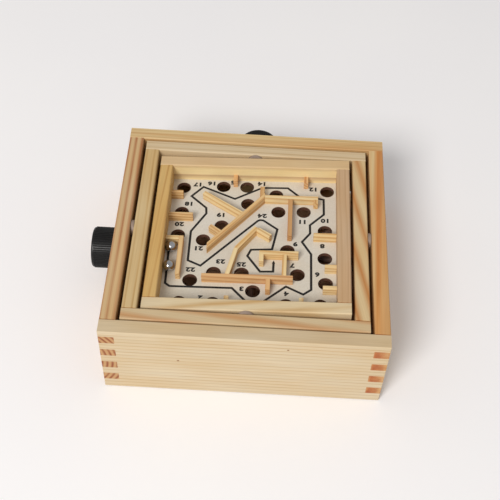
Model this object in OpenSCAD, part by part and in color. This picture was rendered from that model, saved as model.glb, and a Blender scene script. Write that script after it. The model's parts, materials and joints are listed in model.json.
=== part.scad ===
// Tilting labyrinth: a finger-jointed pine box, a middle frame that rocks front to back,
// and a maze tray inside it that rocks side to side. Two knobs turn two crossing shafts,
// and each shaft drives its frame by a cord wound round it.
// Millimetres. X runs to the right, Y away from the viewer, Z up.
// The origin is the middle of the underside.

/* [Maze field] */
// Clear width of the maze between the left and right tray rails
field_w = 121; // [120:0.5:140]
// Clear depth of the maze between the front and rear tray rails
field_d = 120; // [119:0.5:140]
// Depth of the maze floor below the tray rail tops
field_drop = 15.5; // [13:0.5:18]
// Thickness of the maze board
board_t = 3; // [2:0.5:4]
// How far the board reaches into the rails
board_lap = 4; // [2:0.5:5]
// Diameter of the trap holes
hole_d = 10.4; // [9:0.1:11]
// Thickness of the glued wall strips
strip_t = 3.2; // [2.4:0.2:3.4]
// Height of the glued wall strips
strip_h = 6.5; // [4:0.5:8]
// Diameter of the steel balls
ball_d = 8; // [6:0.5:8.5]

/* [Rails and gaps] */
// Width of the tray rails
tray_rail_w = 9.25; // [8.5:0.25:12]
// Width of the middle frame's left and right rails
frame_side_w = 10; // [8:0.5:12]
// Width of the middle frame's front and rear rails
frame_cross_w = 9; // [8:0.5:12]
// Height of the middle frame rails
frame_rail_h = 14; // [13:0.5:15]
// Gap between tray and middle frame, left and right
tray_gap_x = 2.25; // [2:0.25:4]
// Gap between tray and middle frame, front and rear
tray_gap_y = 2.75; // [2:0.25:4]
// Gap between middle frame and box, left and right
frame_gap_x = 2.5; // [2:0.25:4]
// Gap between middle frame and box, front and rear
frame_gap_y = 1.5; // [1.5:0.25:4]
// How far the middle frame lies below the box top
frame_sink = 0.7; // [0:0.1:2]
// How far the tray lies below the box top
tray_sink = 1; // [0:0.1:2]
// Chamfer that eases the long top edges of rails and walls
edge_ease = 0.6; // [0.2:0.1:1]
// Lean of the tray as it was left, right side up
tray_lean = 2.5; // [0:0.1:4]

/* [Box] */
// Height of the box
box_h = 66.5; // [64:0.5:80]
// Thickness of the box walls
wall_t = 10.5; // [9:0.5:14]
// Height of one finger of the corner joints
finger_h = 7.5; // [6:0.25:8]
// Distance from one finger to the next
finger_pitch = 14.8; // [13:0.2:15]
// Distance from the box top to the first finger
finger_top = 5.3; // [4:0.1:6]
// Number of fingers at each end of a side wall
finger_n = 4; // [3:1:4]
// Thickness of the base panel
base_t = 3; // [2:0.5:4]
// How far the base panel reaches into the walls
base_lap = 5; // [4:0.5:6]
// Thickness of the sloping ball floor
ramp_t = 2.5; // [2:0.5:3]
// Slope of the ball floor towards the rear wall, in degrees
ramp_fall_y = 3; // [2:0.5:4]
// Slope of the ball floor towards the right wall, in degrees
ramp_fall_x = 1.5; // [1:0.5:2]
// Width of the ball outlet
outlet_w = 18; // [16:1:24]
// Height of the ball outlet
outlet_h = 14; // [12:1:16]

/* [Pivots] */
// Depth of both tilt axes below the box top
pivot_drop = 6.5; // [6:0.25:7]
// Diameter of the pivot pins
pin_d = 3; // [2.5:0.25:4]
// How deep a pin runs in its bearing hole
pin_bite = 7; // [5:0.5:8]
// Diameter of the pivot washers
washer_d = 11.5; // [9:0.5:12]

/* [Knobs and shafts] */
// Diameter of the control shafts
shaft_d = 5; // [4:0.25:5.5]
// Depth of the side knob's shaft below the box top
side_shaft_drop = 35.5; // [35.5:0.5:38]
// Place of the side knob's shaft along the box
side_shaft_y = 4; // [0:0.5:8]
// Depth of the rear knob's shaft below the box top
rear_shaft_drop = 29.5; // [29:0.25:29.5]
// Place of the rear knob's shaft across the box
rear_shaft_x = 1.5; // [-4:0.5:4]
// Diameter of the knobs
knob_d = 30; // [24:0.5:34]
// Length of the knobs
knob_len = 18; // [14:0.5:22]
// Gap between the side knob and the wall
side_knob_gap = 1; // [1:0.1:3]
// Gap between the rear knob and the wall
rear_knob_gap = 2.5; // [1:0.1:3]
// Number of grip ribs on a knob
rib_n = 60; // [40:1:72]
// Depth of the grooves between the ribs
rib_depth = 0.5; // [0.3:0.1:0.8]
// Rounding of the knob's outer rim
knob_rim_r = 1.25; // [1:0.25:4]
// Wall of the hollow knob
knob_wall = 2.2; // [1.5:0.1:3]

/* [Cords and springs] */
// Diameter of the drive cords
cord_d = 1; // [0.8:0.1:1.2]
// Turns of cord on a shaft
wind_turns = 2; // [1:1:3]
// Step from one turn of cord to the next
wind_step = 1.6; // [1.5:0.1:2]
// Distance of the frame cord from the middle frame's left side
frame_cord_in = 5.5; // [5:0.25:6]
// Distance of the tray cord from the middle of the box
tray_cord_y = 16; // [14:0.5:24]
// Wire of the tension springs
spring_wire = 0.6; // [0.5:0.05:0.7]
// Mean diameter of the tension springs
spring_d = 3.4; // [3:0.1:3.8]
// Number of spring curls
spring_turns = 10; // [6:1:12]
// Step from one curl to the next
spring_step = 1.15; // [1.15:0.05:1.3]

/* [Clearances] */
// Radial play of a pin or shaft in its bearing
run_play = 0.05; // [0.02:0.01:0.1]
// Room between parts that pass each other
pass_gap = 0.3; // [0.2:0.05:0.4]

/* [Hidden] */
$fn = 48;

pine = "#E3C08A";
pale_pine = "#EBD3A4";
strip_pine = "#E0B068";
paper = "#EDE6D6";
ply = "#D8BC8C";
nylon = "#C9C4BC";
steel = "#A9ABAE";
black_plastic = "#1B1B1D";
cord_colour = "#3A3630";

// Half sizes, from the maze field outwards
field_x = field_w / 2;
field_y = field_d / 2;
tray_x = field_x + tray_rail_w;
tray_y = field_y + tray_rail_w;
frame_in_x = tray_x + tray_gap_x;
frame_in_y = tray_y + tray_gap_y;
frame_x = frame_in_x + frame_side_w;
frame_y = frame_in_y + frame_cross_w;
box_in_x = frame_x + frame_gap_x;
box_in_y = frame_y + frame_gap_y;
box_x = box_in_x + wall_t;
box_y = box_in_y + wall_t;

// Heights
frame_top = box_h - frame_sink;
frame_bottom = frame_top - frame_rail_h;
tray_top = box_h - tray_sink;
floor_z = tray_top - field_drop;
tray_bottom = floor_z - board_t;
pivot_z = box_h - pivot_drop;
side_shaft_z = box_h - side_shaft_drop;
rear_shaft_z = box_h - rear_shaft_drop;

// Small parts
pin_r = pin_d / 2;
shaft_r = shaft_d / 2;
cord_r = cord_d / 2;
ball_r = ball_d / 2;
bush_wall = 1.5;
bush_flange_w = 2;
bush_flange_t = 0.6;
collar_wall = 2;
collar_len = 4;
shaft_bite = 6;
knob_boss_wall = 3;
knob_cap_t = 3;
knob_bore_end = 3;
brad_d = 1.4;
brad_head_d = 2.6;
brad_head_t = 0.6;
brad_len = 12;
brad_step_x = 62;
brad_step_y = 60;
cleat_w = 6;
cleat_depth = 20;
cleat_end_y = 40;
ramp_lift = 0.2;
ramp_margin = 20;
outlet_side_margin = 2;
outlet_z = base_t + ramp_t + ramp_lift;
eye_wire_r = 0.7;
eye_ring_r = 2.3;
eye_bite = 7;
eye_shank_r = 0.8;
frame_cord_x = -frame_x + frame_cord_in;
frame_eye_y = frame_in_y + frame_cross_w / 2;
tray_eye_x = field_x + (board_lap + tray_rail_w) / 2;
knot_r = 2.1;
knot_len = 3;
tie_r = 1.1;
spring_leg = 2.5;
spring_tail = 2.2;
tube_sides = 8;
wire_sides = 6;
turn_rings = 16;
curl_rings = 8;
over = 1;

// The maze is laid out on a grid of this many squares, counted from the field's middle,
// and the grid spreads with the field
columns_n = 121;
rows_n = 120;
function across(x) = x * field_w / columns_n;
function deep(y) = y * field_d / rows_n;
function on_field(p) = [across(p[0]), deep(p[1])];

// Trap holes, from the start to the goal
HOLES = [for (p = [
    [-47, -53], [-24, -53], [3, -42], [26, -53], [49.5, -52.5],
    [53, -34], [33.5, -27], [52.5, -12], [26, -5.7], [52.5, 13],
    [37, 30.5], [54, 51], [16.5, 46.2], [-4, 37], [-5.5, 53.5],
    [-23, 53.5], [-52.5, 51.5], [-52, 27.5], [-22, 15.5], [-53, 6],
    [-34.5, 2], [-41, -34], [-25, -27], [18.5, 30], [-5.5, -27]
]) on_field(p)];

// Places of the maze strips, on their centre lines
left_stub_y = [deep(41.9), deep(20.6)];
left_stub_end = [across(-51.8), across(-43)];
rear_stub_x = [across(-14), across(38.3)];
rear_stub_end = [deep(53.5), deep(53.5)];
right_stub_y = [deep(4.5), deep(-23.5), deep(-41.7)];
right_stub_end = [across(44.2), across(52.3), across(51)];
front_stub_x = [across(-14.4), across(36.4)];
front_stub_end = [deep(-50.8), deep(-50.8)];
start_y = deep(-1.2);
start_x = across(-49.4);
start_front = deep(-33.5);
top_stub_x = across(6.3);
top_stub_rear = deep(49);
top_bar_y = deep(39.2);
top_bar_end = across(47.2);
top_spur_front = deep(34);
centre_bar_x = across(27.2);
centre_bar_front = deep(3);
long_diagonal_foot = on_field([-30.9, -7.9]);
long_diagonal_head = on_field([8.3, 40.4]);
diagonal_head = on_field([-36.5, 42]);
diagonal_foot = on_field([-3.5, 20]);
spur_head = on_field([-30, 10.5]);
spur_foot = on_field([-17, 1]);
peak = on_field([3.5, 10]);
peak_left_foot = on_field([-10, -9.4]);
peak_low_foot = on_field([-15.6, -35]);
peak_right_head = on_field([3.6, 9]);
peak_right_foot = on_field([13.7, 2.4]);
inner_bar_y = deep(-12.6);
inner_bar_left = across(6.4);
inner_bar_right = across(33.9);
inner_spur_front = deep(-20.6);
inner_post_x = across(24.2);
long_bar_y = deep(-34);
long_bar_left = across(-32.7);
long_bar_right = across(30.4);
long_spur_x = across(13.3);
long_spur_front = deep(-44.8);

// Balls in the lane by the start
ball_lane_x = -field_x + ball_r + pass_gap;
ball_y = [deep(-8), deep(-25)];
ball_float = 0.1;

// The lean turns the tray about its own pivots
function leaned(p) = [
    p[0] * cos(tray_lean) - (p[2] - pivot_z) * sin(tray_lean),
    p[1],
    pivot_z + p[0] * sin(tray_lean) + (p[2] - pivot_z) * cos(tray_lean)
];
module lean() translate([0, 0, pivot_z]) rotate([0, -tray_lean, 0]) translate([0, 0, -pivot_z]) children();

function unit(v) = v / norm(v);
function lerp(a, b, t) = a + (b - a) * t;

// A tube swept along points, with a radius at each point
function tangents(pts) = [for (i = [0 : len(pts) - 1])
    unit(pts[min(i + 1, len(pts) - 1)] - pts[max(i - 1, 0)])];
function square_to(t) = unit(cross(t, abs(t[0]) < 0.9 ? [1, 0, 0] : [0, 1, 0]));
function carried(ts) = [
    for (i = 0, n = square_to(ts[0]);
        i < len(ts);
        i = i + 1, n = i < len(ts) ? unit(n - ts[i] * (n * ts[i])) : n) n
];
module tube(pts, radii, sides) {
    ts = tangents(pts);
    ns = carried(ts);
    last = len(pts) - 1;
    ring = [for (i = [0 : last], j = [0 : sides - 1])
        let (a = 360 * j / sides)
        pts[i] + radii[i] * (cos(a) * ns[i] + sin(a) * cross(ts[i], ns[i]))];
    skin = [for (i = [0 : last - 1], j = [0 : sides - 1], k = [0, 1])
        let (a = i * sides + j, b = i * sides + (j + 1) % sides)
        k == 0 ? [a, a + sides, b + sides] : [a, b + sides, b]];
    caps = [for (j = [1 : sides - 2], k = [0, 1])
        k == 0 ? [0, j, j + 1] : [last * sides, last * sides + j + 1, last * sides + j]];
    polyhedron(points = ring, faces = concat(skin, caps));
}

// A cord's line in its own plane: along, height and the place on the shaft.
// It comes down from one eye, winds round the shaft and rises to the other eye.
wind_r = shaft_r + pass_gap + cord_r;
wind_half = wind_step * wind_turns / 2;
function touch_angle(shaft, eye, side) =
    let (d = eye - shaft)
    atan2(d[1], d[0]) + side * acos(wind_r / norm(d));
function wound_part(shaft, eye_a, eye_b) =
    let (
        first = touch_angle(shaft, eye_a, -1),
        sweep = first - touch_angle(shaft, eye_b, 1) + 360 * wind_turns,
        n = turn_rings * wind_turns
    )
    [for (k = [0 : n])
        let (a = first - sweep * k / n)
        [shaft[0] + wind_r * cos(a), shaft[1] + wind_r * sin(a), lerp(-wind_half, wind_half, k / n)]];
function at_shaft(eye, side) = [eye[0], eye[1], side * wind_half];

// Distances back from the sprung eye to the spring and to the end of the cord
spring_len = spring_turns * spring_step;
cord_end = spring_leg + spring_len + spring_leg;

function cord_line(shaft, eye_a, eye_b) =
    let (
        wound = wound_part(shaft, eye_a, eye_b),
        a = at_shaft(eye_a, -1),
        b = at_shaft(eye_b, 1),
        out_a = unit(a - wound[0]),
        out_b = unit(b - wound[len(wound) - 1]),
        knot = [for (d = [eye_wire_r + pass_gap + knot_len, eye_wire_r + pass_gap + knot_len / 2,
            eye_wire_r + pass_gap, eye_wire_r]) a + out_a * d],
        tie = [for (d = [cord_end + knot_len, cord_end + knot_len / 2, cord_end]) b - out_b * d]
    )
    concat(knot, [for (t = [0.25, 0.5, 0.75]) lerp(a, wound[0], t)], wound, tie);
function cord_radii(n) = [for (i = [0 : n - 1])
    i == 0 ? cord_r : i == 1 ? knot_r : i == n - 2 ? tie_r : cord_r];

// A spring from the cord's end to the eye, with a bent tail through the eye
function spring_line(shaft, eye_a, eye_b) =
    let (
        wound = wound_part(shaft, eye_a, eye_b),
        b = at_shaft(eye_b, 1),
        u = unit(b - wound[len(wound) - 1]),
        v = unit(cross(u, [0, 0, 1])),
        w = cross(u, v),
        n = spring_turns * curl_rings,
        reach = eye_wire_r + pass_gap + spring_wire
    )
    concat(
        [b + u * reach + w * spring_tail, b + u * reach, b, b - u * spring_leg / 2],
        [for (k = [0 : n])
            let (
                turn = k / curl_rings,
                ramp = min(1, turn * 2, (spring_turns - turn) * 2),
                r = spring_d / 2 * ramp
            )
            b - u * (spring_leg + turn * spring_step)
                + r * (cos(360 * turn) * v + sin(360 * turn) * w)],
        [b - u * (cord_end - spring_leg / 2), b - u * cord_end]
    );
function least_gap(pts, thick, apart) = min([for (i = [0 : len(pts) - 1])
    for (j = [i + apart : 1 : len(pts) - 1]) norm(pts[i] - pts[j])]) - thick;

function in_frame(p) = [frame_cord_x + p[2], p[0], p[1]];
function in_tray(p) = [p[0], tray_cord_y + p[2], p[1]];
frame_eye_z = frame_bottom - eye_ring_r - eye_wire_r;
tray_eye_z = tray_bottom - eye_ring_r - eye_wire_r;
side_shaft_at = [side_shaft_y, side_shaft_z];
rear_shaft_at = [rear_shaft_x, rear_shaft_z];
frame_eye_a = [-frame_eye_y, frame_eye_z];
frame_eye_b = [frame_eye_y, frame_eye_z];
tray_eye_left = leaned([-tray_eye_x, 0, tray_eye_z]);
tray_eye_right = leaned([tray_eye_x, 0, tray_eye_z]);
tray_eye_a = [tray_eye_left[0], tray_eye_left[2]];
tray_eye_b = [tray_eye_right[0], tray_eye_right[2]];
frame_cord_pts = [for (p = cord_line(side_shaft_at, frame_eye_a, frame_eye_b)) in_frame(p)];
tray_cord_pts = [for (p = cord_line(rear_shaft_at, tray_eye_a, tray_eye_b)) in_tray(p)];
frame_spring_pts = [for (p = spring_line(side_shaft_at, frame_eye_a, frame_eye_b)) in_frame(p)];
tray_spring_pts = [for (p = spring_line(rear_shaft_at, tray_eye_a, tray_eye_b)) in_tray(p)];
echo(frame_spring_gap = least_gap(frame_spring_pts, spring_wire, curl_rings - 2));
echo(tray_spring_gap = least_gap(tray_spring_pts, spring_wire, curl_rings - 2));
echo(frame_cord_gap = least_gap(frame_cord_pts, cord_d, turn_rings - 3));

// Straight stock with eased long top edges, along X, standing on the XY plane
module stock(length, width, height) {
    half = width / 2;
    rotate([90, 0, 90])
        linear_extrude(length, center = true)
            polygon([
                [-half, 0], [half, 0], [half, height - edge_ease], [half - edge_ease, height],
                [-half + edge_ease, height], [-half, height - edge_ease]
            ]);
}
module block(from, to) translate(from) cube(to - from);

// A lying cylinder whose middle is at the given place
module rod_x(from, to, y, z, r) translate([from, y, z]) rotate([0, 90, 0]) cylinder(r = r, h = to - from);
module rod_y(from, to, x, z, r) translate([x, from, z]) rotate([-90, 0, 0]) cylinder(r = r, h = to - from);

// Box
function finger_z(i) = box_h - finger_top - finger_h - i * finger_pitch;
module fingers(x_from, x_to, y_from, y_to) {
    for (i = [0 : finger_n - 1])
        block([x_from, y_from, finger_z(i)], [x_to, y_to, finger_z(i) + finger_h]);
}
module base_space() block(
    [-box_in_x - base_lap, -box_in_y - base_lap, -over], [box_in_x + base_lap, box_in_y + base_lap, base_t]);
module brad_places() {
    for (i = [-1 : 1], s = [-1, 1]) {
        translate([i * brad_step_x, s * (box_in_y + base_lap / 2), 0]) children();
        translate([s * (box_in_x + base_lap / 2), i * brad_step_y, 0]) children();
    }
}
module brad() {
    cylinder(d = brad_d, h = brad_len);
    cylinder(d = brad_head_d, h = brad_head_t);
}
module cross_wall(side) {
    difference() {
        translate([0, side * (box_y - wall_t / 2), 0]) stock(2 * box_x, wall_t, box_h);
        for (end = [-1, 1])
            fingers(min(end * box_in_x, end * (box_x + over)), max(end * box_in_x, end * (box_x + over)),
                -box_y - over, box_y + over);
        base_space();
        brad_places() brad();
    }
}
module side_wall(side) {
    difference() {
        union() {
            translate([side * (box_x - wall_t / 2), 0, 0]) rotate([0, 0, 90]) stock(2 * box_in_y, wall_t, box_h);
            fingers(min(side * box_in_x, side * box_x), max(side * box_in_x, side * box_x), -box_y, box_y);
        }
        base_space();
        brad_places() brad();
        rod_x(-box_in_x - pin_bite, box_in_x + pin_bite, 0, pivot_z, pin_r + run_play);
    }
}
bush_r = shaft_r + run_play + bush_wall;
module front_wall() color(pale_pine) difference() {
    cross_wall(-1);
    rod_y(-box_in_y - shaft_bite, 0, rear_shaft_x, rear_shaft_z, shaft_r + run_play);
}
module rear_wall() color(pine) difference() {
    cross_wall(1);
    rod_y(0, box_y + over, rear_shaft_x, rear_shaft_z, bush_r);
    for (x = [outlet_h / 2, outlet_w - outlet_h / 2])
        rod_y(box_in_y - over, box_y + over, box_in_x - outlet_side_margin - x, outlet_z + outlet_h / 2, outlet_h / 2);
    block([box_in_x - outlet_side_margin - outlet_w + outlet_h / 2, box_in_y - over, outlet_z],
        [box_in_x - outlet_side_margin - outlet_h / 2, box_y + over, outlet_z + outlet_h]);
}
module left_wall() color(pine) difference() {
    side_wall(-1);
    rod_x(-box_x - over, 0, side_shaft_y, side_shaft_z, bush_r);
}
module right_wall() color(pine) difference() {
    side_wall(1);
    rod_x(0, box_in_x + shaft_bite, side_shaft_y, side_shaft_z, shaft_r + run_play);
}
module base_panel() color(ply) difference() {
    block([-box_in_x - base_lap, -box_in_y - base_lap, 0], [box_in_x + base_lap, box_in_y + base_lap, base_t]);
    brad_places() brad();
}
module base_brads() color(steel) brad_places() brad();

// Sloping ball floor, lowest at the corner by the outlet
module on_slope() translate([box_in_x, box_in_y, base_t + ramp_lift]) rotate([-ramp_fall_y, ramp_fall_x, 0]) children();
module slope_layer(from, to) on_slope() block(
    [-2 * box_in_x - ramp_margin, -2 * box_in_y - ramp_margin, from], [ramp_margin, ramp_margin, to]);
module ball_ramp() color(ply) intersection() {
    slope_layer(0, ramp_t);
    block([-box_in_x + pass_gap, -box_in_y + pass_gap, base_t],
        [box_in_x - pass_gap, box_in_y - pass_gap, box_h]);
}
module ramp_cleats() color(pine) for (side = [-1, 1]) intersection() {
    slope_layer(-cleat_depth, 0);
    block([side < 0 ? -box_in_x : box_in_x - cleat_w, -box_in_y, base_t],
        [side < 0 ? -box_in_x + cleat_w : box_in_x, cleat_end_y, box_h]);
}

// Shafts, bushes, collars and knobs, drawn along +Z from the wall's inner face outwards
module out_left() translate([-box_in_x, side_shaft_y, side_shaft_z]) rotate([0, -90, 0]) children();
module out_rear() translate([rear_shaft_x, box_in_y, rear_shaft_z]) rotate([-90, 0, 0]) children();
module bush() difference() {
    union() {
        cylinder(r = bush_r, h = wall_t);
        translate([0, 0, wall_t]) cylinder(r = bush_r + bush_flange_w, h = bush_flange_t);
    }
    translate([0, 0, -over]) cylinder(r = shaft_r + run_play, h = wall_t + bush_flange_t + 2 * over);
}
module side_bush() color(nylon) out_left() bush();
module rear_bush() color(nylon) out_rear() bush();
module collar() translate([0, 0, -pass_gap - collar_len]) difference() {
    cylinder(r = shaft_r + collar_wall, h = collar_len);
    translate([0, 0, -over]) cylinder(r = shaft_r, h = collar_len + 2 * over);
}
module side_collar() color(nylon) out_left() collar();
module rear_collar() color(nylon) out_rear() collar();
module shaft(across, gap) {
    inside = 2 * across + shaft_bite - pass_gap;
    translate([0, 0, -inside]) cylinder(r = shaft_r, h = inside + wall_t + gap + knob_len - knob_bore_end);
}
module side_shaft() color(steel) out_left() shaft(box_in_x, side_knob_gap);
module rear_shaft() color(steel) out_rear() shaft(box_in_y, rear_knob_gap);

knob_r = knob_d / 2;
rim_steps = 5;
knob_straight = knob_len - knob_rim_r;
module ribbed_round() {
    step = 360 / rib_n;
    linear_extrude(knob_straight) polygon([for (i = [0 : rib_n - 1], k = [0, 1])
        (k == 0 ? knob_r : knob_r - rib_depth) * [cos(step * (i + k / 2)), sin(step * (i + k / 2))]]);
}
// The rim is rounded in narrow cones and starts a small ledge inside the grooves
rim_ledge = 0.2;
rim_base_r = knob_r - rib_depth - rim_ledge;
module knob_rim() rotate_extrude() polygon(concat(
    [[0, knob_straight]],
    [for (i = [0 : rim_steps]) let (a = 90 * i / rim_steps)
        [rim_base_r - knob_rim_r * (1 - cos(a)), knob_straight + knob_rim_r * sin(a)]],
    [[0, knob_len]]
));
module knob() difference() {
    union() {
        ribbed_round();
        knob_rim();
    }
    translate([0, 0, -over]) difference() {
        cylinder(r = knob_r - rib_depth - knob_wall, h = knob_len - knob_cap_t + over);
        cylinder(r = shaft_r + knob_boss_wall, h = knob_len);
    }
    translate([0, 0, -over]) cylinder(r = shaft_r, h = knob_len - knob_bore_end + over);
}
module side_knob() color(black_plastic) out_left() translate([0, 0, wall_t + side_knob_gap]) knob();
module rear_knob() color(black_plastic) out_rear() translate([0, 0, wall_t + rear_knob_gap]) knob();

// Cords, springs and the eyes that hold them
module frame_cord() color(cord_colour) tube(frame_cord_pts, cord_radii(len(frame_cord_pts)), tube_sides);
module tray_cord() color(cord_colour) tube(tray_cord_pts, cord_radii(len(tray_cord_pts)), tube_sides);
module spring(pts) tube(pts, [for (p = pts) spring_wire / 2], wire_sides);
module frame_spring() color(steel) spring(frame_spring_pts);
module tray_spring() color(steel) spring(tray_spring_pts);
module eye_shank(r) cylinder(r = r, h = eye_ring_r + eye_wire_r + eye_bite);
module eye() {
    rotate([90, 0, 0]) rotate_extrude() translate([eye_ring_r, 0]) circle(eye_wire_r);
    difference() {
        eye_shank(eye_shank_r);
        rotate([90, 0, 0]) cylinder(r = eye_ring_r, h = 4 * eye_wire_r, center = true);
    }
}
module frame_eye_places() for (s = [-1, 1])
    translate([frame_cord_x + s * wind_half, s * frame_eye_y, frame_eye_z]) children();
module tray_eye_places() for (s = [-1, 1])
    translate([s * tray_eye_x, tray_cord_y + s * wind_half, tray_eye_z]) rotate([0, 0, 90]) children();
module frame_cord_eyes() color(steel) frame_eye_places() eye();
module tray_cord_eyes() color(steel) lean() tray_eye_places() eye();

// Middle frame
module frame_cross_rail(side) difference() {
    translate([0, side * (frame_y - frame_cross_w / 2), frame_bottom]) stock(2 * frame_x, frame_cross_w, frame_rail_h);
    rod_y(-frame_y - over, frame_y + over, 0, pivot_z, pin_r);
    frame_eye_places() eye_shank(eye_shank_r);
}
module frame_side_rail(side) difference() {
    translate([side * (frame_x - frame_side_w / 2), 0, frame_bottom])
        rotate([0, 0, 90]) stock(2 * frame_in_y, frame_side_w, frame_rail_h);
    rod_x(-frame_x - over, frame_x + over, 0, pivot_z, pin_r);
}
module frame_front_rail() color(pine) frame_cross_rail(-1);
module frame_rear_rail() color(pine) frame_cross_rail(1);
module frame_left_rail() color(pine) frame_side_rail(-1);
module frame_right_rail() color(pine) frame_side_rail(1);
module frame_pivot_pins() color(steel) {
    rod_x(-box_in_x - pin_bite + pass_gap, -frame_in_x, 0, pivot_z, pin_r);
    rod_x(frame_in_x, box_in_x + pin_bite - pass_gap, 0, pivot_z, pin_r);
}
module tray_pivot_pins() color(steel) {
    rod_y(-frame_y, -tray_y + pin_bite - pass_gap, 0, pivot_z, pin_r);
    rod_y(tray_y - pin_bite + pass_gap, frame_y, 0, pivot_z, pin_r);
}
module washer(thick) difference() {
    cylinder(d = washer_d, h = thick);
    translate([0, 0, -over]) cylinder(r = pin_r + run_play, h = thick + 2 * over);
}
module frame_pivot_washers() color(nylon) for (s = [-1, 1])
    translate([s * (frame_x + pass_gap / 2), 0, pivot_z]) rotate([0, s * 90, 0]) washer(frame_gap_x - 3 * pass_gap / 2);
module tray_pivot_washers() color(nylon) for (s = [-1, 1])
    translate([0, s * (frame_in_y - pass_gap / 2), pivot_z]) rotate([s * 90, 0, 0]) washer(tray_gap_y - 3 * pass_gap / 2);

// Maze tray
module board_space() block(
    [-field_x - board_lap, -field_y - board_lap, tray_bottom - over],
    [field_x + board_lap, field_y + board_lap, floor_z]);
module tray_cross_rail(side) difference() {
    translate([0, side * (tray_y - tray_rail_w / 2), tray_bottom])
        stock(2 * tray_x, tray_rail_w, tray_top - tray_bottom);
    board_space();
    rod_y(-tray_y - over, -tray_y + pin_bite, 0, pivot_z, pin_r + run_play);
    rod_y(tray_y - pin_bite, tray_y + over, 0, pivot_z, pin_r + run_play);
}
module tray_side_rail(side) difference() {
    translate([side * (tray_x - tray_rail_w / 2), 0, tray_bottom])
        rotate([0, 0, 90]) stock(2 * field_y, tray_rail_w, tray_top - tray_bottom);
    board_space();
    tray_eye_places() eye_shank(eye_shank_r);
}
module tray_front_rail() color(pale_pine) lean() tray_cross_rail(-1);
module tray_rear_rail() color(pale_pine) lean() tray_cross_rail(1);
module tray_left_rail() color(pale_pine) lean() tray_side_rail(-1);
module tray_right_rail() color(pale_pine) lean() tray_side_rail(1);
module maze_board() color(paper) lean() difference() {
    block([-field_x - board_lap, -field_y - board_lap, tray_bottom], [field_x + board_lap, field_y + board_lap, floor_z]);
    for (h = HOLES) translate([h[0], h[1], tray_bottom - over]) cylinder(d = hole_d, h = board_t + 2 * over);
}

// Wall strips, glued on edge to the maze board
half_t = strip_t / 2;
module strip(from, to) {
    run = to - from;
    translate([from[0], from[1], floor_z]) rotate([0, 0, atan2(run[1], run[0])])
        translate([0, -half_t, 0]) cube([norm(run), strip_t, strip_h]);
}
module placed() color(strip_pine) lean() children();
module left_rail_stubs() placed() for (i = [0, 1]) strip([-field_x, left_stub_y[i]], [left_stub_end[i], left_stub_y[i]]);
module rear_rail_stubs() placed() for (i = [0, 1]) strip([rear_stub_x[i], rear_stub_end[i]], [rear_stub_x[i], field_y]);
module right_rail_stubs() placed() for (i = [0 : 2]) strip([right_stub_end[i], right_stub_y[i]], [field_x, right_stub_y[i]]);
module front_rail_stubs() placed() for (i = [0, 1]) strip([front_stub_x[i], -field_y], [front_stub_x[i], front_stub_end[i]]);
module start_stub() placed() strip([-field_x, start_y], [start_x - half_t, start_y]);
module start_strip() placed() strip([start_x, start_front], [start_x, start_y + half_t]);
top_bar_front = top_bar_y - half_t;
diagonal_run = long_diagonal_head - long_diagonal_foot;
diagonal_turn = atan2(diagonal_run[1], diagonal_run[0]);
// What lies in front of the long diagonal's rear face, which the strips behind it never enter
module before_diagonal() translate([long_diagonal_foot[0], long_diagonal_foot[1], floor_z - over])
    rotate([0, 0, diagonal_turn])
        translate([-field_x, -field_y, 0]) cube([2 * field_w, field_y + half_t, strip_h + 2 * over]);
module top_stub() placed() difference() {
    strip([top_stub_x, long_diagonal_head[1] - strip_t], [top_stub_x, top_stub_rear]);
    before_diagonal();
}
module top_bar() placed() strip([long_diagonal_head[0], top_bar_y], [top_bar_end, top_bar_y]);
module top_bar_spur() placed() strip([top_bar_end - half_t, top_spur_front], [top_bar_end - half_t, top_bar_front]);
module centre_bar() placed() strip([centre_bar_x, centre_bar_front], [centre_bar_x, top_bar_front]);
module long_diagonal() placed() intersection() {
    translate([long_diagonal_foot[0], long_diagonal_foot[1], floor_z]) rotate([0, 0, diagonal_turn])
        translate([-strip_t, -half_t, 0]) cube([norm(diagonal_run) + 2 * strip_t, strip_t, strip_h]);
    block([long_diagonal_foot[0], -field_y, floor_z - over], [long_diagonal_head[0], field_y, floor_z + strip_h + over]);
}
module diagonal_strip() placed() difference() {
    strip(diagonal_head, diagonal_foot);
    before_diagonal();
}
module diagonal_spur() placed() difference() {
    strip(spur_head, spur_foot);
    before_diagonal();
}
module peak_left() strip(peak_left_foot, peak);
module long_bar_piece() strip([long_bar_left, long_bar_y], [long_bar_right, long_bar_y]);
module peak_left_strip() placed() peak_left();
module peak_low_strip() placed() difference() {
    strip(peak_low_foot, peak_left_foot);
    long_bar_piece();
    peak_left();
}
peak_run = peak - peak_left_foot;
// What lies behind the front face of the peak's left strip
module behind_peak() translate([peak_left_foot[0], peak_left_foot[1], floor_z - over])
    rotate([0, 0, atan2(peak_run[1], peak_run[0])])
        translate([-field_x, -half_t, 0]) cube([2 * field_w, field_y, strip_h + 2 * over]);
module peak_right_strip() placed() difference() {
    strip(peak_right_head, peak_right_foot);
    behind_peak();
}
inner_bar_front = inner_bar_y - half_t;
module inner_bar() placed() strip([inner_bar_left, inner_bar_y], [inner_bar_right, inner_bar_y]);
module inner_bar_spur() placed() strip([inner_bar_left + half_t, inner_spur_front], [inner_bar_left + half_t, inner_bar_front]);
module inner_post() placed() strip([inner_post_x, long_bar_y + half_t], [inner_post_x, inner_bar_front]);
module long_bar() placed() long_bar_piece();
module long_bar_spur() placed() strip([long_spur_x, long_spur_front], [long_spur_x, long_bar_y - half_t]);

// Balls
module ball(i) color(steel) lean()
    translate([ball_lane_x, ball_y[i], floor_z + ball_r + ball_float]) sphere(ball_r);
module ball_1() ball(0);
module ball_2() ball(1);

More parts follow.
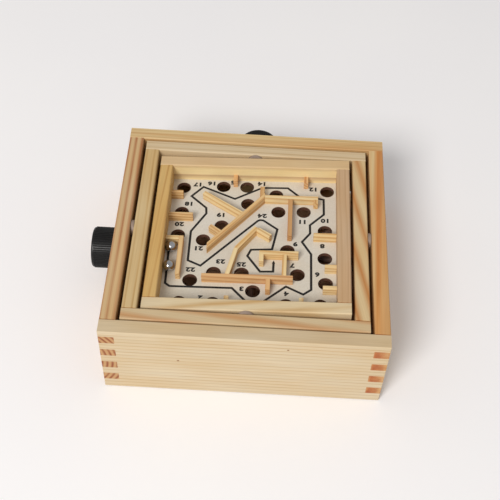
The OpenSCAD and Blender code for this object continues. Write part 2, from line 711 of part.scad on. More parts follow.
front_wall();
rear_wall();
left_wall();
right_wall();
base_panel();
base_brads();
ball_ramp();
ramp_cleats();
side_bush();
rear_bush();
frame_cord();
frame_spring();
tray_cord();
tray_spring();
frame_front_rail();
frame_rear_rail();
frame_left_rail();
frame_right_rail();
frame_pivot_pins();
frame_pivot_washers();
tray_pivot_pins();
tray_pivot_washers();
frame_cord_eyes();
tray_front_rail();
tray_rear_rail();
tray_left_rail();
tray_right_rail();
maze_board();
tray_cord_eyes();
left_rail_stubs();
rear_rail_stubs();
right_rail_stubs();
front_rail_stubs();
start_stub();
start_strip();
diagonal_strip();
long_diagonal();
diagonal_spur();
top_stub();
top_bar();
top_bar_spur();
centre_bar();
peak_left_strip();
peak_low_strip();
peak_right_strip();
inner_bar();
inner_bar_spur();
inner_post();
long_bar();
long_bar_spur();
side_knob();
side_shaft();
side_collar();
rear_knob();
rear_shaft();
rear_collar();
ball_1();
ball_2();
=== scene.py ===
# %% [markdown]
# A tilting labyrinth, dressed around its solids
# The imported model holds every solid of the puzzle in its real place, in metres.
# This lesson adds what bare solids lack: pine with its year rings, eased edges, printed
# paper, ribbed knobs, twisted cords and the light of a small studio.

# %% Load the solids
import json
import math

import bmesh
import bpy
from mathutils import Matrix, Vector


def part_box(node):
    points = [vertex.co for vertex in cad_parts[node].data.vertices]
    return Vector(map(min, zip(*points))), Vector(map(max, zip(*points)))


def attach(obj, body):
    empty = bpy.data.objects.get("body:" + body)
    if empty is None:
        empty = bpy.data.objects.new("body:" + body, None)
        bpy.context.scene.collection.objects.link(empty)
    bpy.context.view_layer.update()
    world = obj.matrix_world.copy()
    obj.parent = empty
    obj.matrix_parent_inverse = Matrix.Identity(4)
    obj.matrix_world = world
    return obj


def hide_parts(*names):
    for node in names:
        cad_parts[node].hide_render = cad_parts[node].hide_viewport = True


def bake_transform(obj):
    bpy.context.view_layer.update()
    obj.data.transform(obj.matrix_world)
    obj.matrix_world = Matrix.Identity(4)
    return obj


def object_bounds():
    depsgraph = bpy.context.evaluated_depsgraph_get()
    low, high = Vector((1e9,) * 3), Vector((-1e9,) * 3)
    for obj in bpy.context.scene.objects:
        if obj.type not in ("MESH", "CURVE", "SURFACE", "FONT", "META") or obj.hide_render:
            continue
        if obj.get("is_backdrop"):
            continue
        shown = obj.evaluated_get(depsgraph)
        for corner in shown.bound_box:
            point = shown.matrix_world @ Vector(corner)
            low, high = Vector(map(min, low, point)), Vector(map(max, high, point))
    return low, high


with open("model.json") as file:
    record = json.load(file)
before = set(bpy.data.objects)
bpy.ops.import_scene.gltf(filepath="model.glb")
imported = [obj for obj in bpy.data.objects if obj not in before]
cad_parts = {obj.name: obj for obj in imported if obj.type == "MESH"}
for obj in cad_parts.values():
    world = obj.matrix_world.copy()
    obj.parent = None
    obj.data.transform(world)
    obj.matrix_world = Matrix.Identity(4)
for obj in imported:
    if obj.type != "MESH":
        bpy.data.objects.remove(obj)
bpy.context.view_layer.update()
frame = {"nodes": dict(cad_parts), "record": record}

MM = 0.001
record = frame["record"]
body_of = {node: body for body, nodes in record["behaviour"]["bodies"].items() for node in nodes}
slot_of = {part["node"]: part["material_slot"] for part in record["subparts"]}

# %% [markdown]
# The camera
# The puzzle is seen from above its near wall, by a camera that is turned a little about
# its own line of sight. A camera can be placed by eye, but then nothing quite lines up. Here
# its place and its directions come from fitting the box's edges in the picture, so every
# other piece can be compared with the picture region by region.

# %% Place the camera
PICTURE_PX = 500
FOCAL_PX = 995.2
SENSOR_MM = 36
MIDDLE_PX = (258.9, 253.9)
CAMERA_PLACE = Vector((5.0, -444.0, 603.2)) * MM
CAMERA_RIGHT = Vector((0.99841, 0.04307, 0.03639))
CAMERA_LOOK = Vector((0.00198, 0.61813, -0.78608))
NEAREST = 50 * MM


def new_object(name, data):
    """An object in the scene that shows some data."""
    thing = bpy.data.objects.new(name, data)
    bpy.context.scene.collection.objects.link(thing)
    return thing


camera_data = bpy.data.cameras.new("viewer")
camera_data.lens = FOCAL_PX / PICTURE_PX * SENSOR_MM
camera_data.sensor_width = SENSOR_MM
camera_data.shift_x = 0.5 - MIDDLE_PX[0] / PICTURE_PX
camera_data.shift_y = MIDDLE_PX[1] / PICTURE_PX - 0.5
camera_data.clip_start = NEAREST
camera = new_object("viewer", camera_data)
back = -CAMERA_LOOK.normalized()
up = back.cross(CAMERA_RIGHT).normalized()
side = up.cross(back)
camera_turn = Matrix((side, up, back)).transposed().to_4x4()
camera.matrix_world = Matrix.Translation(CAMERA_PLACE) @ camera_turn
bpy.context.scene.camera = camera
print("lens", round(camera_data.lens, 2), "mm")

# %% [markdown]
# Building materials from nodes
# A material is a small graph of nodes. It could be drawn by hand in the shader editor, but
# a function lets all boards share one recipe. One helper adds a node with its inputs, and the
# others stand for the usual steps of a graph: a ramp, a noise, a sum of vectors, a mix.
# Colours are written as they look on the screen, from 0 to 255, and turned into the linear
# values that the shader works with.

# %% Colours and nodes
def linear(red, green, blue):
    """A colour of the screen in the shader's linear values."""
    def channel(value):
        value /= 255
        return value / 12.92 if value <= 0.04045 else ((value + 0.055) / 1.055) ** 2.4
    return channel(red), channel(green), channel(blue), 1.0


def grey(value):
    return value, value, value, 1.0


def add(tree, kind, inputs=None, **settings):
    """A shader node; each input is a value, or the socket that feeds it."""
    node = tree.nodes.new("ShaderNode" + kind)
    for key, value in settings.items():
        setattr(node, key, value)
    for key, value in (inputs or {}).items():
        if isinstance(value, bpy.types.NodeSocket):
            tree.links.new(value, node.inputs[key])
        else:
            node.inputs[key].default_value = value
    return node


def ramp(tree, factor, stops):
    """Colours at places from 0 to 1, blended in between."""
    node = add(tree, "ValToRGB", {"Fac": factor})
    elements = node.color_ramp.elements
    while len(elements) < len(stops):
        elements.new(0.5)
    for element, (place, colour) in zip(elements, stops):
        element.position = place
        element.color = colour
    return node.outputs["Color"]


# Nearly all values of a noise lie between these two
NOISE_LOW = 0.3
NOISE_HIGH = 0.7


def spread(tree, factor, low, high):
    """One colour where a noise is low, another where it is high."""
    return ramp(tree, factor, [(NOISE_LOW, low), (NOISE_HIGH, high)])


print("colour and node helpers ready")

# %% [markdown]
# Patterns and mixes
# A real surface is never even, and noise is the plainest pattern that says so. The helpers for
# it take the cells a metre, so a number can be checked with a ruler. Two more start a material
# and connect its colour, roughness and bump to the shader.

# %% Patterns, mixes and the shader's inputs
BUMP_DEPTH = 0.3 * MM
FINE_DEPTH = 0.1 * MM


def noise(tree, vector, cells, detail, seed, output="Fac"):
    """A cloudy pattern with about so many cells a metre."""
    inputs = {"Vector": vector, "W": seed, "Scale": cells, "Detail": detail}
    return add(tree, "TexNoise", inputs, noise_dimensions="4D").outputs[output]


def vectors(tree, operation, first, second):
    """Two vectors joined to a vector."""
    return add(tree, "VectorMath", {0: first, 1: second}, operation=operation).outputs["Vector"]


def measured(tree, operation, first, second):
    """Two vectors joined to a number."""
    return add(tree, "VectorMath", {0: first, 1: second}, operation=operation).outputs["Value"]


def maths(tree, operation, *values):
    """Numbers joined to a number."""
    return add(tree, "Math", dict(enumerate(values)), operation=operation).outputs["Value"]


def mixed(tree, factor, first, second, blend_type="MIX"):
    """Two colours, the second as far as the factor says."""
    inputs = {"Fac": factor, "Color1": first, "Color2": second}
    return add(tree, "MixRGB", inputs, blend_type=blend_type).outputs["Color"]


def multiplied(tree, colour, shade, amount=1.0):
    """A colour under a glaze of another."""
    return mixed(tree, amount, colour, shade, "MULTIPLY")


def begin(name):
    """A new material, its tree, its shader and its texture coordinates."""
    material = bpy.data.materials.new(name)
    material.use_nodes = True
    tree = material.node_tree
    shader = tree.nodes["Principled BSDF"]
    place = add(tree, "TexCoord")
    return material, tree, shader, place


def connect(tree, shader, colour, rough, height=None, bump=0.0, depth=BUMP_DEPTH):
    """Colour, roughness and bump into the shader."""
    tree.links.new(colour, shader.inputs["Base Color"])
    tree.links.new(rough, shader.inputs["Roughness"])
    if height is not None:
        node = add(tree, "Bump", {"Height": height, "Strength": bump, "Distance": depth})
        tree.links.new(node.outputs["Normal"], shader.inputs["Normal"])


print("pattern helpers ready")

# %% [markdown]
# Pine
# Pine is a stack of year rings round the middle of the trunk: pale early wood that darkens
# to a thin orange line of late wood and then starts again. A board shows stripes or arches,
# depending on where it was sawn, and its sawn ends show the rings themselves. A flat stripe
# pattern would have to be fitted to each face. A texture that measures the distance from the
# trunk's middle gives all of that at once. The grain direction, the middle of the trunk and
# the width of a ring are chosen per board.

# %% Year rings
# A ring texture of scale 1 repeats after this distance
WAVE_LENGTH = math.pi / 10
# Cells a metre along the grain and across it
DRIFT_CELLS = (9, 45)
PATCH_CELLS = (12, 110)
FIBRE_CELLS = (35, 1500)
CLOUD_CELLS = (14, 50)
STREAK_CELLS = (5, 170)


def grain_noise(tree, vector, grain, cells, detail, seed, output="Fac"):
    """Noise that is drawn out along the grain."""
    along, across = cells
    factors = tuple(along if axis == grain else across for axis in "XYZ")
    stretched = vectors(tree, "MULTIPLY", vector, factors)
    return noise(tree, stretched, 1.0, detail, seed, output)


def year_rings(tree, vector, grain, ring, wander, rings_as, uneven, seed):
    """How much late wood there is at each place, from 0 to 1."""
    drift = grain_noise(tree, vector, grain, DRIFT_CELLS, 2.0, seed, "Color")
    drift = vectors(tree, "SUBTRACT", drift, (0.5, 0.5, 0.5))
    drift = vectors(tree, "MULTIPLY", drift, (2 * wander * MM,) * 3)
    warped = vectors(tree, "ADD", vector, drift)
    wave = add(tree, "TexWave", {"Vector": warped, "Scale": WAVE_LENGTH / (ring * MM)},
               wave_type="RINGS", rings_direction=grain, wave_profile="SAW").outputs["Fac"]
    begins, darkest, ends = rings_as
    late_wood = ramp(tree, wave, [(0.0, grey(0.0)), (begins, grey(0.0)),
                                  (darkest, grey(1.0)), (ends, grey(0.0))])
    patches = grain_noise(tree, vector, grain, PATCH_CELLS, 2.0, seed + 5)
    patches = ramp(tree, patches, [(0.35, grey(1 - uneven)), (0.6, grey(1.0))])
    return multiplied(tree, late_wood, patches)


print("ring texture ready")

# %% [markdown]
# From rings to wood
# Rings alone look like a target. On real pine fine fibres, soft clouds and long streaks run
# over them, knots are dark spots, and the sawn ends are darker. Each of these could be a
# material of its own. Here they are thin glazes over the rings, so that one function makes
# every board.

# %% Pine finish
GRAIN = {"X": Vector((1, 0, 0)), "Y": Vector((0, 1, 0))}
# Where in a ring the late wood begins, is darkest, and ends
LINES = (0.66, 0.9, 1.0)
BANDS = (0.25, 0.62, 0.95)
CLOUD_SHADE = (250, 238, 218)
STREAK_SHADE = (226, 186, 146)
KNOT_SHADE = (176, 132, 96)
END_SHADE = (240, 222, 200)
END_LATE = (226, 200, 176)


def pine(name, grain, trunk, ring, pale, late, turn=(0, 0, 0), wander=1.5, rings_as=LINES, uneven=0.35,
         end_shade=END_SHADE, end_late=END_LATE, streaks=0.0, knots=(), *, seed):
    """Pine with its grain along an axis; trunk, ring and wander in millimetres, turn in degrees."""
    material, tree, shader, place = begin(name)
    here = place.outputs["Object"]
    away = vectors(tree, "SUBTRACT", here, Vector(trunk) * MM)
    board = add(tree, "Mapping", {"Vector": away, "Rotation": [math.radians(a) for a in turn]})
    vector = board.outputs["Vector"]
    late_wood = year_rings(tree, vector, grain, ring, wander, rings_as, uneven, seed)
    colour = mixed(tree, late_wood, linear(*pale), linear(*late))
    # Fine fibres, soft clouds and long streaks
    fibre = grain_noise(tree, vector, grain, FIBRE_CELLS, 3.0, seed + 3)
    colour = multiplied(tree, colour, spread(tree, fibre, grey(0.88), grey(1.0)))
    cloud = grain_noise(tree, vector, grain, CLOUD_CELLS, 2.0, seed + 7)
    colour = multiplied(tree, colour, spread(tree, cloud, linear(*CLOUD_SHADE), grey(1.0)))
    flow = grain_noise(tree, vector, grain, STREAK_CELLS, 3.0, seed + 9)
    flow = ramp(tree, flow, [(0.4, linear(*STREAK_SHADE)), (0.58, grey(1.0))])
    colour = multiplied(tree, colour, flow, streaks)
    for spot, radius in knots:
        gap = measured(tree, "DISTANCE", here, Vector(spot) * MM)
        share = maths(tree, "MULTIPLY", gap, 1 / (radius * MM))
        knot = ramp(tree, share, [(0.4, linear(*KNOT_SHADE)), (1.0, grey(1.0))])
        colour = multiplied(tree, colour, knot)
    # Sawn ends drink more of the finish, so they are darker
    facing = measured(tree, "DOT_PRODUCT", place.outputs["Normal"], GRAIN[grain])
    facing = maths(tree, "ABSOLUTE", facing)
    end = ramp(tree, facing, [(0.75, grey(0.0)), (0.9, grey(1.0))])
    colour = multiplied(tree, colour, linear(*end_shade), end)
    end_lines = maths(tree, "MULTIPLY", end, late_wood)
    colour = multiplied(tree, colour, linear(*end_late), end_lines)
    rough = spread(tree, fibre, grey(0.62), grey(0.5))
    height = maths(tree, "MULTIPLY_ADD", fibre, 0.6, late_wood)
    connect(tree, shader, colour, rough, height, bump=0.12)
    return material


print("pine finish ready")

# %% [markdown]
# Twelve boards
# The box and the two frames are sawn from several planks, so no two boards look alike: some
# have narrow lines, some wide orange bands, some hardly any figure. One material for all of
# them would look printed. Each board gets its own place in the trunk, its own ring width and
# its own two colours, pale early wood and darker late wood.

# %% Walls and rails
woods = {
    "front_wall": pine(
        "near_wall_pine", "X", (0, -88, -210), 3.8, (217, 201, 171), (193, 162, 121),
        wander=0.7, rings_as=(0.7, 0.9, 1.0), uneven=0.6,
        knots=[((-43.4, -93, 37.3), 1.1), ((28.8, -93, 57.4), 1.0)], seed=1),
    "rear_wall": pine(
        "far_wall_pine", "X", (0, 330, 40), 3.4, (226, 202, 154), (204, 170, 116),
        uneven=0.7, streaks=0.6, seed=2),
    "left_wall": pine(
        "left_wall_pine", "Y", (-127, 0, 33), 3.4, (215, 186, 142), (168, 97, 47),
        wander=0.7, rings_as=(0.3, 0.7, 1.0), uneven=0.5,
        end_shade=(236, 214, 194), end_late=(228, 206, 182), seed=3),
    "right_wall": pine(
        "right_wall_pine", "Y", (-318.9, 0, 33), 13.0, (224, 196, 146), (218, 153, 80),
        turn=(0, 0, 2.0), wander=1.7, rings_as=(0.22, 0.42, 1.0), uneven=0.15, streaks=0.7,
        end_shade=(238, 216, 200), end_late=(230, 204, 192), seed=4),
    "frame_front_rail": pine(
        "frame_near_pine", "X", (0, 20, 65.8), 11.0, (212, 190, 152), (196, 139, 84),
        turn=(0, 0, 6), rings_as=BANDS, uneven=0.4, seed=5),
    "frame_rear_rail": pine(
        "frame_far_pine", "X", (0, 180, 40), 4.2, (218, 198, 164), (196, 168, 126),
        uneven=0.6, seed=6),
    "frame_left_rail": pine(
        "frame_left_pine", "Y", (-120, 0, 40), 4.8, (214, 188, 140), (188, 150, 92),
        uneven=0.7, seed=7),
    "frame_right_rail": pine(
        "frame_right_pine", "Y", (-60, 60, 45), 10.0, (220, 196, 152), (194, 130, 66),
        turn=(0, 0, -12), wander=2.2, rings_as=BANDS, uneven=0.2, seed=8),
    "tray_front_rail": pine(
        "tray_near_pine", "X", (30, -20, 30), 7.0, (226, 210, 177), (204, 168, 114),
        turn=(0, 0, -5), wander=2.6, rings_as=BANDS, uneven=0.8, seed=9),
    # Painted light: this rail's pale wood is lightened, so its inner face looks as bright as a face in more
    # light.
    "tray_rear_rail": pine(
        "tray_far_pine_painted_light", "X", (0, 66, -40), 10.71, (252, 232, 181), (209, 178, 139),
        turn=(0, 2.5, 0), wander=0.8, rings_as=(0.5, 0.9, 1.0), uneven=0.2, seed=10),
    "tray_left_rail": pine(
        "tray_left_pine", "Y", (-110, 0, 45), 5.2, (216, 181, 117), (190, 143, 78),
        turn=(0, 0, 3), wander=2.0, uneven=0.7, seed=11),
    "tray_right_rail": pine(
        "tray_right_pine", "Y", (20, 0, 120), 2.6, (205, 174, 139), (194, 160, 123),
        uneven=0.5, seed=12),
}
print("pine boards:", len(woods))

# %% [markdown]
# Paper and pressed board
# The maze floor is fibre board with white paper on it: its face is pale, and the cut walls of
# its holes are brown, darkened further as painted shade of the holes. The floor below, on which
# a lost ball rolls out, is pale hardboard, painted paler still as painted light for the dim inside
# seen through the holes, and the base is a darker one. Paper and board could be two pieces, but
# paper has no thickness to see, so one material looks which way a face points and shows paper
# only on top.

# %% Board finishes
def paper_faced():
    material, tree, shader, place = begin("paper_faced_board")
    here = place.outputs["Object"]
    mottle = noise(tree, here, cells=900, detail=4.0, seed=1)
    cloud = noise(tree, here, cells=28, detail=2.0, seed=5)
    paper = spread(tree, mottle, linear(213, 207, 195), linear(223, 218, 208))
    paper = multiplied(tree, paper, spread(tree, cloud, linear(250, 246, 238), grey(1.0)))
    # The brown of the hole walls is fibre board, darkened further as painted shade of the holes.
    fibre = spread(tree, mottle, linear(90, 60, 46), linear(112, 78, 61))
    upward = add(tree, "SeparateXYZ", {0: place.outputs["Normal"]}).outputs["Z"]
    face = ramp(tree, upward, [(0.8, grey(0.0)), (0.95, grey(1.0))])
    colour = mixed(tree, face, fibre, paper)
    rough = spread(tree, mottle, grey(0.7), grey(0.6))
    connect(tree, shader, colour, rough, mottle, 0.05, FINE_DEPTH)
    return material


def hardboard(name, dark, light):
    material, tree, shader, place = begin(name)
    here = place.outputs["Object"]
    flecks = noise(tree, here, cells=700, detail=5.0, seed=2)
    cloud = noise(tree, here, cells=30, detail=3.0, seed=4)
    colour = spread(tree, flecks, linear(*dark), linear(*light))
    colour = multiplied(tree, colour, spread(tree, cloud, grey(0.82), grey(1.0)))
    connect(tree, shader, colour, spread(tree, flecks, grey(0.75), grey(0.6)), flecks, 0.2)
    return material


paper_board = paper_faced()
# Painted light: the ball floor is painted paler, so the dim inside seen through the holes is less dark.
pale_board_painted_light = hardboard("ball_floor_painted_light", (226, 170, 132), (242, 194, 156))
base_board = hardboard("base_board", (150, 116, 78), (184, 148, 104))
print("board finishes ready")

# %% [markdown]
# Plastic, nylon and steel
# Knobs are black moulded plastic, and washers, bushes and collars are nylon, painted a greyish
# brown for the shade of the gaps they sit in. Pins, screw eyes and brads are bright steel, the
# balls are polished, and the shafts and springs are a dull brown, painted shade that keeps the
# shafts dark where they show through the holes. A shader with one flat colour would do from
# afar. Close by, a moulded skin has a fine texture and metal has faint scratches, so noise
# drives the roughness and a slight bump.

# %% Plastic and metal finishes
def satin(name, dark, light, rough, cells=1400, shine=0.5):
    """The skin of plastic, nylon or dull metal."""
    material, tree, shader, place = begin(name)
    here = place.outputs["Object"]
    shader.inputs["Specular IOR Level"].default_value = shine
    skin = noise(tree, here, cells, detail=3.0, seed=3)
    cloud = noise(tree, here, cells=90, detail=2.0, seed=6)
    colour = spread(tree, cloud, linear(*dark), linear(*light))
    sheen = spread(tree, skin, grey(rough + 0.06), grey(rough - 0.06))
    connect(tree, shader, colour, sheen, skin, 0.05, FINE_DEPTH)
    return material


def steel(name, rough, scratches):
    """Bare steel with so many scratches a metre."""
    material, tree, shader, place = begin(name)
    shader.inputs["Metallic"].default_value = 1.0
    scaled = vectors(tree, "MULTIPLY", place.outputs["Object"], (scratches,) * 3)
    brush = noise(tree, scaled, cells=1.0, detail=3.0, seed=2)
    colour = spread(tree, brush, linear(176, 177, 180), linear(202, 203, 206))
    sheen = spread(tree, brush, grey(rough * 1.3), grey(rough * 0.8))
    connect(tree, shader, colour, sheen, brush, 0.03, FINE_DEPTH)
    return material


black_plastic = satin("black_plastic", (7, 7, 8), (13, 13, 14), 0.4, shine=0.36)
# Painted shade: the nylon gets the greyish brown of the shaded gaps it sits in.
nylon = satin("nylon_painted_shade", (144, 124, 110), (160, 140, 126), 0.5)
# Painted shade: the shafts and springs are a dull brown, so the shafts stay dark where they show through the
# holes.
painted_shade_steel = satin("painted_shade_steel", (130, 98, 82), (156, 122, 104), 0.5, cells=900)
bright_steel = steel("bright_steel", 0.28, scratches=400)
ball_steel = steel("ball_steel", 0.1, scratches=300)
print("plastic and metal finishes ready")

# %% [markdown]
# Twine and ink
# The cords are dark twine, rough with lint, and the print is black ink that sinks
# unevenly into paper. Both could be plain black, but then they would swallow all shape. A
# little noise between two near blacks keeps them alive.

# %% Cord and ink finishes
def twisted_twine():
    material, tree, shader, place = begin("cord_twine")
    lint = noise(tree, place.outputs["Object"], cells=2600, detail=3.0, seed=8)
    colour = spread(tree, lint, linear(34, 30, 27), linear(72, 64, 56))
    connect(tree, shader, colour, spread(tree, lint, grey(0.9), grey(0.75)), lint, 0.3)
    return material


def printed_ink():
    material, tree, shader, place = begin("printed_ink")
    sunk = noise(tree, place.outputs["Object"], cells=1200, detail=3.0, seed=9)
    colour = spread(tree, sunk, linear(16, 13, 12), linear(30, 26, 24))
    connect(tree, shader, colour, spread(tree, sunk, grey(0.7), grey(0.55)))
    return material


cord_twine = twisted_twine()
ink = printed_ink()
print("cord and ink finishes ready")

# %% [markdown]
# Carrying finishes to the solids
# Pins, washers, bushes, eyes, brads, the maze floor and the boards inside the box already
# have their whole shape as solids. They could be modelled again, but a copy would add nothing,
# so they stay and only get a material, by what they are made of. The pieces that get a finer
# shape further on are dressed here too, until something takes their place.

# %% Dress the plain solids
FINISH_OF_SLOT = {
    "steel": bright_steel,
    "nylon": nylon,
    "black_plastic": black_plastic,
    "cord": cord_twine,
    "plywood": pale_board_painted_light,
    "paper_faced_board": paper_board,
}
FINISH_OF_NODE = {**woods, "base_panel": base_board, "side_shaft": painted_shade_steel, "rear_shaft": painted_shade_steel}


def set_finish(data, material):
    data.materials.clear()
    data.materials.append(material)


for node, slot in slot_of.items():
    by_slot = FINISH_OF_SLOT.get(slot, woods["rear_wall"])
    set_finish(frame["nodes"][node].data, FINISH_OF_NODE.get(node, by_slot))
print("dressed", len(slot_of), "solids")

# %% [markdown]
# Eased edges
# Nobody leaves a toy's edges razor sharp: sandpaper takes off a fraction of a millimetre,
# and that narrow band is what catches the light. A shader can fake such a band, but only a
# real bevel survives in other programs. Each board is a copy of its solid with the triangles
# merged into flat faces and its long edges bevelled. On the box only the outer upright edges
# are eased, so that the fingers of the corners still meet their slots flush.

# %% Bevelled copies of the boards
WELD = 0.002 * MM
FLAT_ANGLE = math.radians(0.3)
SHORTEST_EDGE = 2 * MM
SHARP_ANGLE = math.radians(30)
WALL_EASE = 0.5 * MM
RAIL_EASE = 0.25 * MM
BOX_HALF = (95 * MM, 93 * MM)
ON_CORNER = 0.01 * MM


def mesh_of(shape, name):
    """The mesh of a shape that is done."""
    data = bpy.data.meshes.new(name)
    shape.to_mesh(data)
    shape.free()
    return data


def show(name, data, node, material):
    """A finer piece in the place of a solid."""
    set_finish(data, material)
    piece = new_object(name, data)
    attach(piece, body_of[node])
    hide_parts(node)


def eased(node, material, radius, wanted, weld=WELD):
    """A copy of a solid with its long sharp edges rounded, where they are wanted."""
    shape = bmesh.new()
    shape.from_mesh(frame["nodes"][node].data)
    bmesh.ops.remove_doubles(shape, verts=shape.verts, dist=weld)
    bmesh.ops.dissolve_limit(shape, angle_limit=FLAT_ANGLE, verts=shape.verts, edges=shape.edges)
    edges = [e for e in shape.edges if e.is_manifold and e.calc_length() > SHORTEST_EDGE
             and e.calc_face_angle(0) > SHARP_ANGLE and wanted(e)]
    bmesh.ops.bevel(shape, geom=edges, offset=radius, offset_type="OFFSET", segments=2, profile=0.6,
                    affect="EDGES", clamp_overlap=True)
    show(node + "_board", mesh_of(shape, node + "_board"), node, material)


def every_edge(edge):
    return True


def on_outer_corner(edge):
    """True for the box's upright corners, where the walls and their fingers end together."""
    return all(abs(abs(v.co.x) - BOX_HALF[0]) < ON_CORNER and abs(abs(v.co.y) - BOX_HALF[1]) < ON_CORNER
               for v in edge.verts)


for board, wood in woods.items():
    if board.endswith("wall"):
        eased(board, wood, WALL_EASE, on_outer_corner)
    else:
        eased(board, wood, RAIL_EASE, every_edge)
print("eased boards:", len(woods))

# %% [markdown]
# Maze strips
# The walls of the maze are thin sticks, sawn from odd ends of pine and glued on edge: most are
# pale yellow, some tan, some nearly orange, and one is reddish. Each has its grain along its
# own length. One pine for all would run across the slanting sticks, so each stick gets its
# own, turned to its angle on the board and taken from another place in the trunk.

# %% Strips with their own grain
STRIP_ANGLE = {"diagonal_strip": -33.7, "long_diagonal": 51.0, "diagonal_spur": -36.2,
               "peak_left_strip": 55.2, "peak_low_strip": 77.7, "peak_right_strip": -33.2}
CROSSWISE = ("rear_rail_stubs", "front_rail_stubs", "start_strip", "top_stub", "top_bar_spur",
             "centre_bar", "inner_bar_spur", "inner_post", "long_bar_spur")
PALE_STICK = ((243, 219, 169), (215, 170, 110))
TAN_STICK = ((232, 199, 147), (198, 145, 84))
ORANGE_STICK = ((230, 190, 140), (190, 126, 72))
RED_STICK = ((208, 160, 106), (178, 114, 64))
STRIP_TONE = {"long_bar": ORANGE_STICK, "long_bar_spur": ORANGE_STICK, "centre_bar": RED_STICK,
              "rear_rail_stubs": ORANGE_STICK, "left_rail_stubs": TAN_STICK, "diagonal_spur": TAN_STICK,
              "start_strip": TAN_STICK, "long_diagonal": TAN_STICK, "top_stub": TAN_STICK,
              "top_bar_spur": TAN_STICK}
STRIP_RINGS = (0.4, 0.8, 1.0)
STRIP_SEED = 20
STRIP_EASE = 0.22 * MM
# Slivers shorter than this, where one strip is cut to fit the next, close up before the bevel
STRIP_WELD = 0.65 * MM

strips = [node for node, slot in slot_of.items() if slot == "strip_pine"]
for count, node in enumerate(strips):
    angle = STRIP_ANGLE.get(node, 90.0 if node in CROSSWISE else 0.0)
    # Each stick comes from another place in the trunk, with rings of another width
    trunk = (0, -40 - 9 * (count % 5), -20 + 13 * (count % 4))
    ring = 2.0 + 0.3 * (count % 4)
    pale, late = STRIP_TONE.get(node, PALE_STICK)
    stick = pine(node + "_pine", "X", trunk, ring, pale, late, turn=(0, 0, -angle), wander=0.8,
                 rings_as=STRIP_RINGS, seed=STRIP_SEED + count)
    eased(node, stick, STRIP_EASE, every_edge, STRIP_WELD)
print("strips:", len(strips))

# %% [markdown]
# The route on the maze floor
# A black line shows the way from the start to the goal. It could be painted in the floor's
# material, but that takes nodes for every stretch of it, and ink as a thin solid is kinder to
# other programs. So the line is a closed ribbon, a few hundredths of a millimetre thick, with
# mitred corners.

# %% Ribbon of ink
INK_THICK = 0.04
MITRE_LIMIT = 0.3


def ribbon(points, width):
    """Left and right border of a line with mitred corners."""
    points = [Vector(p) for p in points]
    borders = ([], [])
    for i, point in enumerate(points):
        before = (point - points[i - 1]).normalized() if i else None
        after = (points[i + 1] - point).normalized() if i + 1 < len(points) else None
        ways = [way for way in (before, after) if way is not None]
        normals = [Vector((-way.y, way.x)) for way in ways]
        mitre = sum(normals, Vector((0, 0))).normalized()
        reach = width / 2 / max(MITRE_LIMIT, mitre.dot(normals[0]))
        borders[0].append(point + mitre * reach)
        borders[1].append(point - mitre * reach)
    return borders


def lay_ink(shape, borders):
    """A closed ribbon between two borders, thin and flat."""
    rings = []
    for left, right in zip(*borders):
        corners = ((left, 0), (right, 0), (right, INK_THICK), (left, INK_THICK))
        rings.append([shape.verts.new((p.x, p.y, z)) for p, z in corners])
    for a, b in zip(rings, rings[1:]):
        for k in range(4):
            shape.faces.new((a[k], a[(k + 1) % 4], b[(k + 1) % 4], b[k]))
    shape.faces.new(rings[0][::-1])
    shape.faces.new(rings[-1])


print("ribbon helpers ready")

# %% [markdown]
# Drawing the route
# The route is a row of corners on the flat board, in millimetres, with a tick at the start and
# an arrow head at the goal. It could be drawn where it lies, but the tray rests a little out of
# level. Drawn flat, laid just above the paper and leaned with the tray, it stays easy to read.

# %% Route line
FLOOR_Z = 50.0
PIVOT_Z = 60.0
LEAN = math.radians(-2.5)
INK_LIFT = 0.02
LINE_WIDTH = 1.65
ROUTE = [
    (-58.2, -5.5), (-57.8, -37.2), (-54.5, -39.7), (-11.4, -39.8), (-1.5, -50.5), (10.5, -50.5),
    (25.8, -37.2), (37.8, -43.5), (43.2, -39.3), (42.8, -8.3), (36.2, 2.7), (41.9, 10.7), (41.7, 18.5),
    (51.7, 28.9), (51.5, 43.3), (47.6, 44.2), (35.0, 44.2), (24.9, 53.8), (7.8, 53.5), (4.1, 52.4),
    (-13.9, 41.8), (-38.0, 52.9), (-46.2, 43.4), (-34.5, 32.3), (-34.0, 27.0), (-43.9, 9.7),
    (-43.8, -16.8), (-34.6, -21.2), (3.9, 21.2), (5.4, 22.0), (7.8, 21.8), (18.3, 13.7), (15.1, -4.8),
    (0.2, -5.7), (-2.1, -11.3), (7.4, -24.9), (16.5, -24.6), (16.6, -17.0),
]
START_TICK = [(-60.2, -5.5), (-56.4, -5.5)]
ARROW_LEFT = Vector((15.4, -17.4))
ARROW_RIGHT = Vector((17.8, -17.4))
ARROW_TIP = Vector((16.6, -14.9))
TIP_HALF = Vector((0.05, 0))

to_pivot = Matrix.Translation((0, 0, PIVOT_Z))
tray_lean = to_pivot @ Matrix.Rotation(LEAN, 4, "Y") @ to_pivot.inverted()
on_floor = Matrix.Scale(MM, 4) @ tray_lean @ Matrix.Translation((0, 0, FLOOR_Z + INK_LIFT))


def printed(name, data):
    """Print that was drawn flat, laid on the leaning floor."""
    data.transform(on_floor)
    set_finish(data, ink)
    piece = new_object(name, data)
    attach(piece, "maze_tray")


line = bmesh.new()
lay_ink(line, ribbon(ROUTE, LINE_WIDTH))
lay_ink(line, ribbon(START_TICK, LINE_WIDTH))
lay_ink(line, ([ARROW_LEFT, ARROW_TIP - TIP_HALF], [ARROW_RIGHT, ARROW_TIP + TIP_HALF]))
bmesh.ops.recalc_face_normals(line, faces=line.faces)
printed("route_line", mesh_of(line, "route_line"))
print("route of", len(ROUTE), "points")

# %% [markdown]
# Numbers
# Each hole has its number, printed for a player who sits at the far side, so the digits stand
# on their heads here. Digits could be drawn stroke by stroke. Blender's own text is quicker:
# it is swelled to the weight of the print, widened, turned into a closed mesh and laid on the
# floor. More swelling would fold the narrow waist of a 3 over itself.

